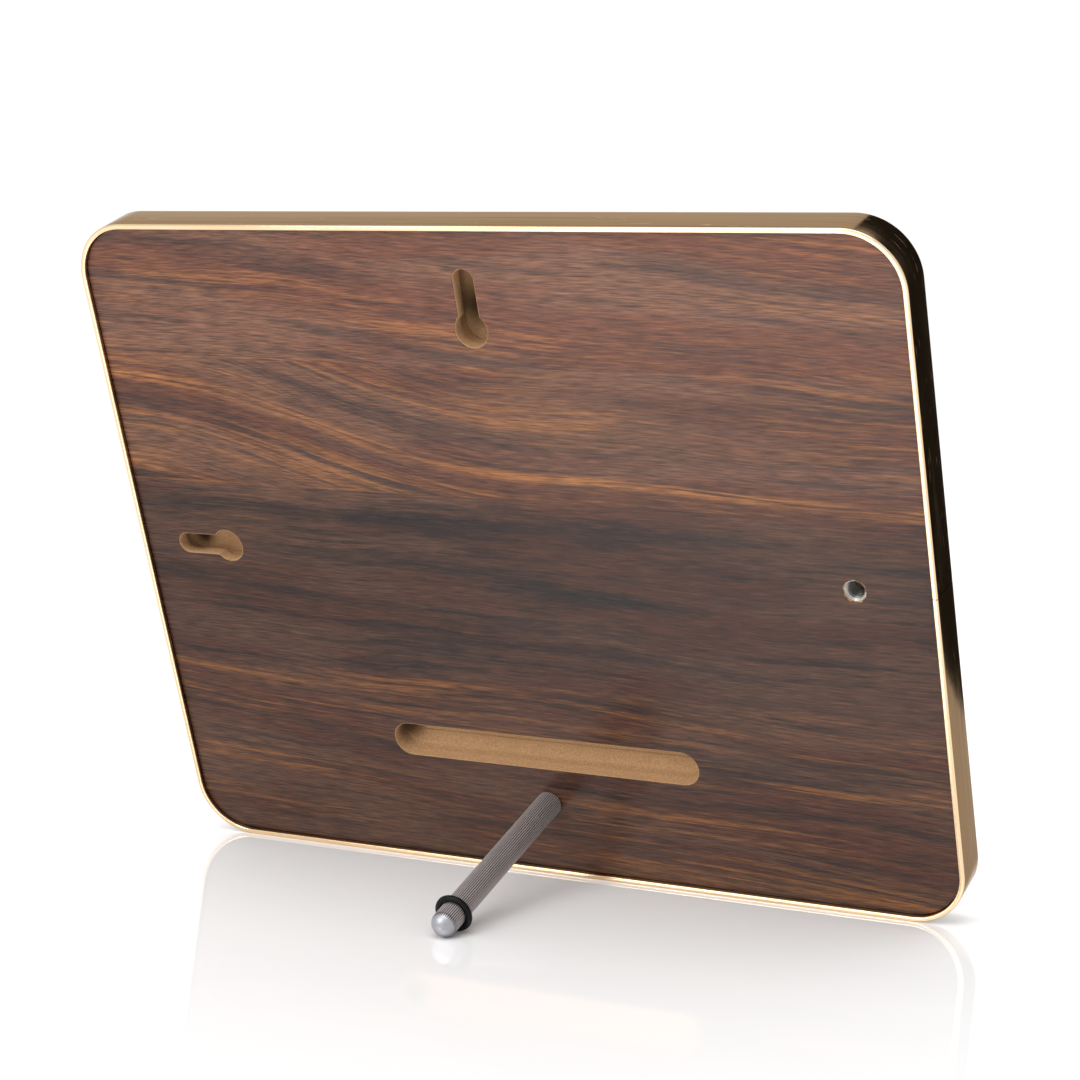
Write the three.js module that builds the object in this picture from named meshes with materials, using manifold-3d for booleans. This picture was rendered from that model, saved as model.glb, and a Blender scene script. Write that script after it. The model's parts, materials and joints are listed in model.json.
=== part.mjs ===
// A free-standing photo panel: a routed fibreboard core with a walnut-look back sheet, a print
// behind a clear face, a gold edge band, two threaded inserts and a fluted peg with a rubber foot.
//
// Millimetres. The board is drawn upright in its own frame: x to the right as seen from the front,
// y = 0 at the back rim and negative towards the picture, z up from the bottom edge. It is then
// leaned back on its peg, and the origin is the middle of its footprint on the table (+Z up).

import * as THREE from 'three';
import { mergeVertices } from 'three/addons/utils/BufferGeometryUtils.js';
import Module from 'manifold-3d';

const wasm = await Module();
wasm.setup();

// ---- driving dimensions --------------------------------------------------------------------

const GAP = 0.3;                 // clearance between neighbouring pieces
const CUT = 1;                   // how far a cutter runs past the face it opens

const BOARD = { width: 254, height: 203.2, thickness: 12.7, cornerRadius: 17 };
const BAND = { thickness: 1.5, backLip: 1.5, frontLip: 1.0, edgeRound: 0.5 };
const TONGUE = { thickness: 2.0, depth: 6.5 };
const SEAM = { width: 0.3, z: BOARD.height / 2 };
const BACK_SHEET = 0.6;          // walnut-look laminate
const PRINT = 0.4;               // the picture
const CLEAR_FACE = 1.0;          // clear sheet over the picture

const KEYHOLE = { length: 22.7, neckWidth: 6.3, headDiameter: 10, neckDepth: 3.8, depth: 7.0 };
const TOP_KEYHOLE = { x: 0, z: 172.8, angle: Math.PI / 2 };
const SIDE_KEYHOLE = { x: 96.4, z: 101.6, angle: 0 };
const GROOVE = { length: 100, width: 10.5, depth: 7.0, z: 40.7 };

const INSERT = { outerRadius: 4.0, boreRadius: 3.0, length: 6.0, leadIn: 0.3 };
const SHEET_HOLE_RADIUS = 3.2;   // drilled through the back sheet over each insert
const PEG_HOLE = { x: 0, z: 24.3 };
const SIDE_HOLE = { x: -103.5, z: 101.6 };

const PEG = { radius: 3.8, straight: 66.0, fluteCount: 40, fluteDepth: 0.25, rootChamfer: 0.4 };
const STUD = { radius: 2.7, engaged: 6.0, inPeg: 6.8, tipChamfer: 0.5 };
const FOOT = { outerRadius: 5.7, sectionRadius: 0.825, y: 59.7 };

// ---- planes that follow from them ----------------------------------------------------------

const SHEET_BACK = -BAND.backLip;
const CORE_BACK = SHEET_BACK - BACK_SHEET - GAP;
const FACE_FRONT = -(BOARD.thickness - BAND.frontLip);
const PRINT_FRONT = FACE_FRONT + CLEAR_FACE + GAP;
const CORE_FRONT = PRINT_FRONT + PRINT + GAP;
const POCKET_FLOOR = SHEET_BACK - KEYHOLE.depth;
const NECK_FLOOR = SHEET_BACK - KEYHOLE.neckDepth;
const INSERT_TOP = CORE_BACK - GAP;
const CORE_MIDDLE = (CORE_BACK + CORE_FRONT) / 2;
const PEG_ROOT = SHEET_BACK + GAP;
const PEG_DOME_BASE = PEG_ROOT + PEG.straight;
const SHEET_INSET = BAND.thickness + GAP;

// The foot's section circle and the rounded bottom edge of the band both touch the table, so the
// lean is the slope of the line under the two circles.
const FOOT_CIRCLE = {
  y: FOOT.y,
  z: PEG_HOLE.z - FOOT.outerRadius + FOOT.sectionRadius,
  radius: FOOT.sectionRadius,
};
const EDGE_CIRCLE = { y: -BAND.edgeRound, z: BAND.edgeRound, radius: BAND.edgeRound };
const span = Math.hypot(FOOT_CIRCLE.y - EDGE_CIRCLE.y, FOOT_CIRCLE.z - EDGE_CIRCLE.z);
const LEAN = Math.atan2(FOOT_CIRCLE.z - EDGE_CIRCLE.z, FOOT_CIRCLE.y - EDGE_CIRCLE.y)
  - Math.asin((FOOT_CIRCLE.radius - EDGE_CIRCLE.radius) / span);

// ---- finishes --------------------------------------------------------------------------------

const finish = (color, roughness, metalness, extra = {}) =>
  new THREE.MeshStandardMaterial({ color, roughness, metalness, ...extra });

const FINISHES = {
  fibreboard: () => finish(0xa98a5e, 0.95, 0),
  walnutSheet: () => finish(0x63453a, 0.42, 0),
  goldBand: () => finish(0xd9b27c, 0.22, 1),
  print: () => finish(0x8fb0c4, 0.5, 0),
  clearSheet: () => finish(0xeef3f5, 0.08, 0, { transparent: true, opacity: 0.25 }),
  zinc: () => finish(0xb9b9b4, 0.35, 1),
  steel: () => finish(0x8f8f8d, 0.4, 1),
  anodised: () => finish(0x77706b, 0.45, 1),
  rubber: () => finish(0x141416, 0.7, 0),
};

// ---- solids ----------------------------------------------------------------------------------

/** A closed three.js geometry as a manifold solid. */
function solid(geometry) {
  const bare = geometry.clone();
  for (const name of ['normal', 'uv']) bare.deleteAttribute(name);
  const merged = mergeVertices(bare, 1e-4);
  return new wasm.Manifold(new wasm.Mesh({
    numProp: 3,
    vertProperties: new Float32Array(merged.attributes.position.array),
    triVerts: new Uint32Array(merged.index.array),
  }));
}

/** A manifold solid as a three.js geometry. */
function geometryOf(manifold) {
  const mesh = manifold.getMesh();
  const geometry = new THREE.BufferGeometry();
  geometry.setAttribute('position', new THREE.BufferAttribute(mesh.vertProperties, 3));
  geometry.setIndex(new THREE.BufferAttribute(mesh.triVerts, 1));
  geometry.computeVertexNormals();
  return geometry;
}

/** The board's outline, moved in by inset all round, as a shape in the x-z plane. */
function boardOutline(inset) {
  const radius = BOARD.cornerRadius - inset;
  const right = BOARD.width / 2 - inset - radius;
  const low = inset + radius;
  const high = BOARD.height - low;
  const shape = new THREE.Shape();
  shape.absarc(right, low, radius, -Math.PI / 2, 0);
  shape.absarc(right, high, radius, 0, Math.PI / 2);
  shape.absarc(-right, high, radius, Math.PI / 2, Math.PI);
  shape.absarc(-right, low, radius, Math.PI, 1.5 * Math.PI);
  shape.closePath();
  return shape;
}

/** A round-ended slot from one centre towards angle, length between its two end centres. */
function slotOutline({ x, z, angle }, length, radius, PathClass = THREE.Shape) {
  const path = new PathClass();
  const quarter = Math.PI / 2;
  const end = { x: x + length * Math.cos(angle), z: z + length * Math.sin(angle) };
  path.absarc(end.x, end.z, radius, angle - quarter, angle + quarter);
  path.absarc(x, z, radius, angle + quarter, angle + 3 * quarter);
  path.closePath();
  return path;
}

const KEYHOLE_REACH = KEYHOLE.length - KEYHOLE.headDiameter / 2 - KEYHOLE.neckWidth / 2;

/** A keyhole seen from the back: a round head, with a narrow neck running off towards angle. */
function keyholeOutline({ x, z, angle }, PathClass = THREE.Shape) {
  const head = KEYHOLE.headDiameter / 2;
  const neck = KEYHOLE.neckWidth / 2;
  const meet = Math.asin(neck / head);
  const quarter = Math.PI / 2;
  const path = new PathClass();
  path.absarc(x, z, head, angle + meet, angle - meet + 2 * Math.PI);
  path.absarc(
    x + KEYHOLE_REACH * Math.cos(angle),
    z + KEYHOLE_REACH * Math.sin(angle),
    neck,
    angle - quarter,
    angle + quarter,
  );
  path.closePath();
  return path;
}

/** The groove that stores the peg, seen from the back. */
function grooveOutline(PathClass = THREE.Shape) {
  const radius = GROOVE.width / 2;
  const reach = GROOVE.length - GROOVE.width;
  return slotOutline({ x: -reach / 2, z: GROOVE.z, angle: 0 }, reach, radius, PathClass);
}

/** A shape of the x-z plane given thickness, from y = back down to y = front. */
function slab(shape, back, front, options = {}) {
  const geometry = new THREE.ExtrudeGeometry(shape, {
    depth: back - front,
    bevelEnabled: false,
    curveSegments: 6,
    ...options,
  });
  return geometry.rotateX(Math.PI / 2).translate(0, back, 0);
}

/** A round bar along y. */
function bar({ x, z }, radius, back, front, sides = 32) {
  return new THREE.CylinderGeometry(radius, radius, back - front, sides)
    .translate(x, (back + front) / 2, z);
}

/** A ring of the board's outline between two insets. */
const outlineRing = (outerInset, innerInset, back, front) =>
  solid(slab(boardOutline(outerInset), back, front))
    .subtract(solid(slab(boardOutline(innerInset), back + CUT, front - CUT)));

// ---- the board and its layers ------------------------------------------------------------------

/** The pocket that a keyhole leaves: the open head and neck, and the wider slot behind the neck. */
function keyholePocket(place) {
  const head = KEYHOLE.headDiameter / 2;
  return solid(slab(keyholeOutline(place), CUT, NECK_FLOOR))
    .add(solid(slab(slotOutline(place, KEYHOLE_REACH, head), NECK_FLOOR, POCKET_FLOOR)))
    .add(solid(bar(place, head, CUT, POCKET_FLOOR)));
}

/** The round-bottomed groove, as a ball-nosed cutter leaves it. */
function groovePocket() {
  const radius = GROOVE.width / 2;
  const reach = GROOVE.length - GROOVE.width;
  const ballCentre = SHEET_BACK - GROOVE.depth + radius;
  const sweep = new THREE.CylinderGeometry(radius, radius, reach, 32)
    .rotateZ(Math.PI / 2).translate(0, ballCentre, GROOVE.z);
  let pocket = solid(slab(grooveOutline(), CUT, ballCentre)).add(solid(sweep));
  for (const end of [-reach / 2, reach / 2]) {
    const ball = new THREE.SphereGeometry(radius, 32, 16).translate(end, ballCentre, GROOVE.z);
    pocket = pocket.add(solid(ball));
  }
  return pocket;
}

function coreBoard() {
  const kerfHalf = TONGUE.thickness / 2 + GAP;
  const kerfFloor = BAND.thickness + TONGUE.depth + GAP;
  const kerf = outlineRing(-CUT, kerfFloor, CORE_MIDDLE + kerfHalf, CORE_MIDDLE - kerfHalf);
  let core = solid(slab(boardOutline(SHEET_INSET), CORE_BACK, CORE_FRONT)).subtract(kerf);
  for (const place of [TOP_KEYHOLE, SIDE_KEYHOLE]) core = core.subtract(keyholePocket(place));
  core = core.subtract(groovePocket());
  const holeFloor = INSERT_TOP - INSERT.length - GAP;
  for (const place of [PEG_HOLE, SIDE_HOLE]) {
    core = core.subtract(solid(bar(place, INSERT.outerRadius + GAP, CUT, holeFloor)));
  }
  return geometryOf(core);
}

function backSheet() {
  const shape = boardOutline(SHEET_INSET);
  shape.holes.push(keyholeOutline(TOP_KEYHOLE, THREE.Path), keyholeOutline(SIDE_KEYHOLE, THREE.Path));
  shape.holes.push(grooveOutline(THREE.Path));
  for (const { x, z } of [PEG_HOLE, SIDE_HOLE]) {
    shape.holes.push(new THREE.Path().absarc(x, z, SHEET_HOLE_RADIUS, 0, 2 * Math.PI));
  }
  return slab(shape, SHEET_BACK, SHEET_BACK - BACK_SHEET);
}

/** A T section all round: a strip with rounded edges, and a tongue that sits in the board's kerf. */
function edgeBand() {
  const round = BAND.edgeRound;
  const whole = slab(boardOutline(0), -round, round - BOARD.thickness, {
    bevelEnabled: true,
    bevelSize: round,
    bevelThickness: round,
    bevelOffset: -round,
    bevelSegments: 3,
  });
  const strip = solid(whole).subtract(
    solid(slab(boardOutline(BAND.thickness), CUT, -BOARD.thickness - CUT)),
  );
  const tongueHalf = TONGUE.thickness / 2;
  const tongue = outlineRing(
    BAND.thickness / 2,
    BAND.thickness + TONGUE.depth,
    CORE_MIDDLE + tongueHalf,
    CORE_MIDDLE - tongueHalf,
  );
  const reach = BAND.thickness + TONGUE.depth + 2 * CUT;
  const seam = new THREE.BoxGeometry(reach, BOARD.thickness + 2 * CUT, SEAM.width)
    .translate(-BOARD.width / 2 + reach / 2 - CUT, -BOARD.thickness / 2, SEAM.z);
  return geometryOf(strip.add(tongue).subtract(solid(seam)));
}

// ---- the turned pieces, drawn round the y axis ---------------------------------------------------

const turned = (profile, sides) =>
  new THREE.LatheGeometry(profile.map(([r, y]) => new THREE.Vector2(r, y)), sides);

function threadedInsert() {
  const { outerRadius, boreRadius, length, leadIn } = INSERT;
  const foot = INSERT_TOP - length;
  return turned([
    [boreRadius, foot],
    [outerRadius, foot],
    [outerRadius, INSERT_TOP],
    [boreRadius + leadIn, INSERT_TOP],
    [boreRadius, INSERT_TOP - leadIn],
    [boreRadius, foot],
  ], 32);
}

/** The fluted peg: straight flutes all along, a domed tip, and a bore in its root for the stud. */
function pegShaft() {
  const { radius, fluteCount, fluteDepth, rootChamfer } = PEG;
  const section = new THREE.Shape();
  for (let i = 0; i < 2 * fluteCount; i += 1) {
    const r = i % 2 === 0 ? radius : radius - fluteDepth;
    const angle = (i * Math.PI) / fluteCount;
    section[i === 0 ? 'moveTo' : 'lineTo'](r * Math.cos(angle), r * Math.sin(angle));
  }
  section.closePath();
  const fluted = solid(slab(section, PEG_DOME_BASE + radius + CUT, PEG_ROOT - CUT));
  const envelope = [[0, PEG_ROOT], [radius - rootChamfer, PEG_ROOT], [radius, PEG_ROOT + rootChamfer]];
  const domeSteps = 8;
  for (let i = 0; i < domeSteps; i += 1) {
    const angle = (i * Math.PI) / 2 / domeSteps;
    envelope.push([radius * Math.cos(angle), PEG_DOME_BASE + radius * Math.sin(angle)]);
  }
  envelope.push([0, PEG_DOME_BASE + radius]);
  const boreTop = PEG_ROOT + STUD.inPeg + GAP;
  const bore = bar({ x: 0, z: 0 }, STUD.radius + GAP, boreTop, PEG_ROOT - CUT);
  return geometryOf(fluted.intersect(solid(turned(envelope, 2 * fluteCount))).subtract(solid(bore)));
}

function pegStud() {
  const { radius, engaged, inPeg, tipChamfer } = STUD;
  const tip = INSERT_TOP - engaged;
  const top = PEG_ROOT + inPeg;
  return turned([
    [0, tip],
    [radius - tipChamfer, tip],
    [radius, tip + tipChamfer],
    [radius, top],
    [0, top],
  ], 32);
}

const footRing = () =>
  new THREE.TorusGeometry(FOOT.outerRadius - FOOT.sectionRadius, FOOT.sectionRadius, 12, 48)
    .rotateX(Math.PI / 2);

// ---- the assembly ----------------------------------------------------------------------------------

/** One named piece, placed in the board's frame. */
function piece(name, geometry, material, { x = 0, y = 0, z = 0 } = {}) {
  const mesh = new THREE.Mesh(geometry, material);
  mesh.name = name;
  mesh.position.set(x, y, z);
  return mesh;
}

const leaned = new THREE.Group();
leaned.rotation.x = -LEAN;
leaned.add(
  piece('core_board', coreBoard(), FINISHES.fibreboard()),
  piece('back_sheet', backSheet(), FINISHES.walnutSheet()),
  piece('photo_print', slab(boardOutline(SHEET_INSET), CORE_FRONT - GAP, PRINT_FRONT), FINISHES.print()),
  piece('clear_face', slab(boardOutline(SHEET_INSET), PRINT_FRONT - GAP, FACE_FRONT), FINISHES.clearSheet()),
  piece('edge_band', edgeBand(), FINISHES.goldBand()),
  piece('peg_insert', threadedInsert(), FINISHES.zinc(), PEG_HOLE),
  piece('side_insert', threadedInsert(), FINISHES.zinc(), SIDE_HOLE),
  piece('peg_stud', pegStud(), FINISHES.steel(), PEG_HOLE),
  piece('peg_shaft', pegShaft(), FINISHES.anodised(), PEG_HOLE),
  piece('foot_ring', footRing(), FINISHES.rubber(), { ...PEG_HOLE, y: FOOT.y }),
);

const photoPanel = new THREE.Group();
photoPanel.add(leaned);
photoPanel.updateMatrixWorld(true);
const footprint = new THREE.Box3().setFromObject(photoPanel, true);
leaned.position.set(0, -(footprint.min.y + footprint.max.y) / 2, -footprint.min.z);

export default photoPanel;
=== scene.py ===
"""Looks of a free-standing photo panel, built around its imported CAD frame.

The panel is a routed fibreboard with a walnut-look back sheet, a picture behind a clear face and a
gold edge band. It leans back on a fluted peg that screws into its back and stands on a rubber ring.
Every piece is modelled upright in the board's own frame and then leaned into place. In that frame x
runs to the right as seen from the picture, y is 0 at the back rim and negative towards the picture,
and z is up from the bottom edge.
"""

import json
import logging
import math
from collections.abc import Callable, Iterable, Sequence
from dataclasses import dataclass, field
from enum import Enum

import bmesh
import bpy
from mathutils import Matrix, Vector


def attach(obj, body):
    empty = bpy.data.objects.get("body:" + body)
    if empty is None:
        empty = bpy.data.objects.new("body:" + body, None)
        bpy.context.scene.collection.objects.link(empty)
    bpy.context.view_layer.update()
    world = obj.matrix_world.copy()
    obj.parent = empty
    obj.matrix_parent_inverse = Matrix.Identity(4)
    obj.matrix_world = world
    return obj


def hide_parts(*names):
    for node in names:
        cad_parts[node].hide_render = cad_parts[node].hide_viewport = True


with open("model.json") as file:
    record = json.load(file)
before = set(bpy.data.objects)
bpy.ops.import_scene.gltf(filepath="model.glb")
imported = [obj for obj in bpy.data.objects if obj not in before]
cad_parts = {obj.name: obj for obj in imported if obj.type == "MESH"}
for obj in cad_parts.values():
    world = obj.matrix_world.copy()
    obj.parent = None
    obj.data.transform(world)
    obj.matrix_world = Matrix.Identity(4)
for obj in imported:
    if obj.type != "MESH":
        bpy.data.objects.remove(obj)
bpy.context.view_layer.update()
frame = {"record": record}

LOG = logging.getLogger("photo_panel")
MM = 0.001

Colour = tuple[float, float, float]
Socket = bpy.types.NodeSocket
Value = float | Socket
Test = Callable[[Vector], bool]


# ---- sizes that several pieces share -------------------------------------------------------------


@dataclass(frozen=True)
class BoardSizes:
    """Outline and layers of the board, in metres."""

    width: float = 254 * MM
    height: float = 203.2 * MM
    thickness: float = 12.7 * MM
    corner_radius: float = 17 * MM
    band: float = 1.5 * MM
    back_lip: float = 1.5 * MM
    front_lip: float = 1.0 * MM
    fit: float = 0.15 * MM
    sheet: float = 0.2 * MM
    print: float = 0.3 * MM
    clear: float = 1.3 * MM

    @property
    def sheet_back(self) -> float:
        """Height y of the walnut-look face."""
        return -self.back_lip

    @property
    def core_back(self) -> float:
        """Height y of the fibreboard's back face."""
        return self.sheet_back - self.sheet

    @property
    def face_front(self) -> float:
        """Height y of the clear face's outer side."""
        return self.front_lip - self.thickness

    @property
    def print_front(self) -> float:
        """Height y of the printed side of the picture."""
        return self.face_front + self.clear

    @property
    def core_front(self) -> float:
        """Height y of the fibreboard's front face."""
        return self.print_front + self.print

    @property
    def middle(self) -> float:
        """Height y half way through the fibreboard."""
        return (self.core_back + self.core_front) / 2


@dataclass(frozen=True)
class KeyholeSizes:
    """A routed keyhole: a round head, a narrow neck, and a wider slot behind the neck."""

    length: float = 22.7 * MM
    neck_width: float = 6.3 * MM
    head_diameter: float = 10 * MM
    neck_depth: float = 3.8 * MM
    depth: float = 7 * MM

    @property
    def reach(self) -> float:
        """Distance from the head's centre to the centre of the neck's round end."""
        return self.length - self.head_diameter / 2 - self.neck_width / 2


@dataclass(frozen=True)
class GrooveSizes:
    """The round-bottomed groove that stores the peg."""

    length: float = 100 * MM
    width: float = 10.5 * MM
    depth: float = 7 * MM
    z: float = 40.7 * MM


@dataclass(frozen=True)
class ThreadSizes:
    """An M6 thread, and the clearance between a screw and its insert."""

    radius: float = 3 * MM
    depth: float = 0.55 * MM
    pitch: float = 1 * MM
    clearance: float = 0.05 * MM


BOARD = BoardSizes()
KEYHOLE = KeyholeSizes()
GROOVE = GrooveSizes()
THREAD = ThreadSizes()
PEG_HOLE = Vector((0, 0, 24.3 * MM))
SIDE_HOLE = Vector((-103.5 * MM, 0, 101.6 * MM))
TOP_KEYHOLE = Vector((0, 0, 172.8 * MM))
SIDE_KEYHOLE = Vector((96.4 * MM, 0, 101.6 * MM))
SEAM_Z = BOARD.height / 2
CUT = 1 * MM            # how far a cutter runs past the face it opens
SLIVER = 0.01 * MM      # keeps two faces from lying in one plane
TOUCH = 0.001 * MM      # places closer than this count as the same
SPLIT = 0.0001 * MM     # how close to a plane a cut takes a vertex as lying on it
WELD = 0.002 * MM       # vertices closer than this are merged
CORNER_STEPS = 24       # facets round each corner of a slab


class Neck(Enum):
    """The way a keyhole's neck runs from its head, as an angle in the board's plane."""

    UP = math.pi / 2
    SIDEWAYS = 0.0


def board_to_row() -> Matrix:
    """Gives the matrix that leans the upright board frame into the row frame.

    Returns:
        The matrix, worked out from the peg's joint.
    """
    joint = next(j for j in frame["record"]["behaviour"]["joints"] if j["name"] == "peg_turn")
    axis = Vector(joint["axis"])
    turn = Matrix.Rotation(math.atan2(axis.z, axis.y), 4, "X")
    return Matrix.Translation(Vector(joint["pos_m"]) - turn @ PEG_HOLE) @ turn


LEANED = board_to_row()


# ---- modelling by hand ---------------------------------------------------------------------------


def clear_selection() -> None:
    """Leaves object mode with nothing selected."""
    if bpy.context.object and bpy.context.object.mode != "OBJECT":
        bpy.ops.object.mode_set(mode="OBJECT")
    bpy.ops.object.select_all(action="DESELECT")


def activate(piece: bpy.types.Object) -> None:
    """Makes a piece the only selected and the active object.

    Args:
        piece: The object to work on.
    """
    clear_selection()
    piece.select_set(True)
    bpy.context.view_layer.objects.active = piece


def both_at(a: Vector, b: Vector, y: float) -> bool:
    """Tells whether two places lie in the plane of that y."""
    return abs(a.y - y) < TOUCH and abs(b.y - y) < TOUCH


class Editing:
    """Edit mode on one piece, with its parts selected in code by their place."""

    def __init__(self, piece: bpy.types.Object) -> None:
        """Stores the piece to edit."""
        self.piece = piece

    def __enter__(self) -> "Editing":
        """Enters edit mode with nothing selected."""
        activate(self.piece)
        bpy.ops.object.mode_set(mode="EDIT")
        bpy.ops.mesh.select_all(action="DESELECT")
        return self

    def __exit__(self, *error: object) -> None:
        """Goes back to object mode."""
        bpy.ops.object.mode_set(mode="OBJECT")

    def _pick(self, kind: str, test: Callable[[object], bool]) -> None:
        """Selects the vertices, edges or faces that pass the test."""
        bpy.ops.mesh.select_mode(type=kind)
        bpy.ops.mesh.select_all(action="DESELECT")
        mesh = bmesh.from_edit_mesh(self.piece.data)
        parts = {"VERT": mesh.verts, "EDGE": mesh.edges, "FACE": mesh.faces}[kind]
        for part in parts:
            if test(part):
                part.select_set(True)
        mesh.select_flush_mode()
        bmesh.update_edit_mesh(self.piece.data)

    def vertices(self, test: Test) -> None:
        """Selects the vertices whose place passes the test."""
        self._pick("VERT", lambda v: test(v.co))

    def edges(self, test: Callable[[Vector, Vector], bool]) -> None:
        """Selects the edges whose two ends pass the test together."""
        self._pick("EDGE", lambda e: test(e.verts[0].co, e.verts[1].co))

    def loop_at(self, y: float) -> None:
        """Selects every edge that lies in the plane of that y."""
        self.edges(lambda a, b: both_at(a, b, y))

    def faces(self, test: Callable[[Vector, Vector], bool]) -> None:
        """Selects the faces whose centre and normal pass the test."""
        self._pick("FACE", lambda f: test(f.calc_center_median(), f.normal))

    def everything(self) -> None:
        """Selects the whole mesh, as vertices, so that loose ones count."""
        bpy.ops.mesh.select_mode(type="VERT")
        bpy.ops.mesh.select_all(action="SELECT")

    def bevel(self, size: float, segments: int) -> None:
        """Rounds the selected edges."""
        bpy.ops.mesh.bevel(offset=size, segments=segments, affect="EDGES", clamp_overlap=False)


def named(name: str) -> bpy.types.Object:
    """Names the object that an operator has just added.

    Args:
        name: The object's and the mesh's new name.

    Returns:
        The object.
    """
    piece = bpy.context.object
    piece.name = piece.data.name = name
    return piece


def apply_place(piece: bpy.types.Object) -> None:
    """Moves a piece's place, turn and scale into its mesh."""
    activate(piece)
    bpy.ops.object.transform_apply(location=True, rotation=True, scale=True)


def move_to(piece: bpy.types.Object, place: Vector) -> None:
    """Moves a piece that was modelled about the origin to its place."""
    piece.location = place
    apply_place(piece)


def block(name: str, low: Vector, high: Vector) -> bpy.types.Object:
    """Adds a box between two corners.

    Args:
        name: The object's name.
        low: The lowest corner.
        high: The highest corner.

    Returns:
        The box.
    """
    clear_selection()
    bpy.ops.mesh.primitive_cube_add(size=1, location=(low + high) / 2)
    piece = named(name)
    piece.scale = high - low
    apply_place(piece)
    return piece


def rounded_slab(
    name: str, width: float, height: float, radius: float, back: float, front: float
) -> bpy.types.Object:
    """Adds a slab in the board's plane, centred on x and z, with its four corners rounded.

    Args:
        name: The object's name.
        width: Size along x.
        height: Size along z.
        radius: Corner radius.
        back: The y of its back face.
        front: The y of its front face.

    Returns:
        The slab.
    """
    half = Vector((width / 2, 0, height / 2))
    piece = block(name, Vector((-half.x, front, -half.z)), Vector((half.x, back, half.z)))
    with Editing(piece) as edit:
        edit.edges(lambda a, b: abs(a.y - b.y) > (back - front) / 2)
        edit.bevel(radius, CORNER_STEPS)
    return piece


def board_slab(name: str, inset: float, back: float, front: float) -> bpy.types.Object:
    """Adds a slab with the board's outline, moved in by inset all round.

    Args:
        name: The object's name.
        inset: Distance inside the outer edge of the band.
        back: The y of its back face.
        front: The y of its front face.

    Returns:
        The slab, standing on z = inset.
    """
    size = (BOARD.width - 2 * inset, BOARD.height - 2 * inset)
    piece = rounded_slab(name, *size, BOARD.corner_radius - inset, back, front)
    piece.location.z = BOARD.height / 2
    apply_place(piece)
    return piece


def bar(
    name: str, centre: Vector, radius: float, back: float, front: float, sides: int = 96
) -> bpy.types.Object:
    """Adds a round bar along y.

    Args:
        name: The object's name.
        centre: A point on its axis.
        radius: Its radius.
        back: The y of its back end.
        front: The y of its front end.
        sides: Facets round it.

    Returns:
        The bar.
    """
    clear_selection()
    bpy.ops.mesh.primitive_cylinder_add(
        vertices=sides,
        radius=radius,
        depth=back - front,
        location=(centre.x, (back + front) / 2, centre.z),
        rotation=(-math.pi / 2, 0, 0),
    )
    piece = named(name)
    apply_place(piece)
    return piece


def slot_cutter(
    start: Vector, neck: Neck, reach: float, radius: float, back: float, front: float
) -> bpy.types.Object:
    """Adds a round-ended cutter that runs from a centre towards the neck's end.

    Args:
        start: Centre of its first round end.
        neck: The way it runs.
        reach: Distance between the centres of its two ends.
        radius: Half its width.
        back: The y of its back face.
        front: The y of its front face.

    Returns:
        The cutter.
    """
    nearly_full = radius * 0.9999
    piece = rounded_slab("slot_cutter", reach + 2 * radius, 2 * radius, nearly_full, back, front)
    way = Vector((math.cos(neck.value), 0, math.sin(neck.value)))
    piece.rotation_euler.y = -neck.value
    piece.location = start + way * reach / 2
    apply_place(piece)
    return piece


def combine(piece: bpy.types.Object, tool: bpy.types.Object, operation: str = "DIFFERENCE") -> None:
    """Cuts, joins or intersects a piece with a tool, which is used up.

    Args:
        piece: The piece that is kept.
        tool: The solid that cuts or joins it.
        operation: DIFFERENCE, UNION or INTERSECT.
    """
    activate(piece)
    modifier = piece.modifiers.new("cut", "BOOLEAN")
    modifier.operation = operation
    modifier.solver = "EXACT"
    modifier.object = tool
    if tool.data.materials:
        modifier.material_mode = "TRANSFER"
    bpy.ops.object.modifier_apply(modifier=modifier.name)
    bpy.data.objects.remove(tool)


def soften(piece: bpy.types.Object, width: float, segments: int = 2) -> None:
    """Rounds every edge sharper than 50 degrees, and smooths the shading of the rest.

    Args:
        piece: The piece.
        width: Width of the rounding.
        segments: Steps across it.
    """
    activate(piece)
    modifier = piece.modifiers.new("soften", "BEVEL")
    modifier.width = width
    modifier.segments = segments
    modifier.limit_method = "ANGLE"
    modifier.angle_limit = math.radians(50)
    modifier.use_clamp_overlap = True
    bpy.ops.object.modifier_apply(modifier=modifier.name)
    smooth(piece)


def smooth(piece: bpy.types.Object, angle: float = 35) -> None:
    """Shades a piece smooth up to an angle, in degrees."""
    activate(piece)
    bpy.ops.object.shade_smooth_by_angle(angle=math.radians(angle))


def turned_line(name: str, points: Sequence[tuple[float, float]]) -> bpy.types.Object:
    """Draws an open line of (radius, y) points beside the y axis, ready to be turned.

    Args:
        name: The object's name.
        points: The line's points, in metres.

    Returns:
        The line.
    """
    clear_selection()
    bpy.ops.mesh.primitive_plane_add(size=MM, location=(0, 0, 0))
    piece = named(name)
    with Editing(piece) as edit:
        edit.everything()
        bpy.ops.mesh.merge(type="CENTER")
        place = Vector((0, 0, 0))
        for i, (radius, y) in enumerate(points):
            step = Vector((radius, y, 0)) - place
            if i == 0:
                bpy.ops.transform.translate(value=step)
            else:
                bpy.ops.mesh.extrude_region_move(TRANSFORM_OT_translate={"value": step})
            place += step
    return piece


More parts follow.
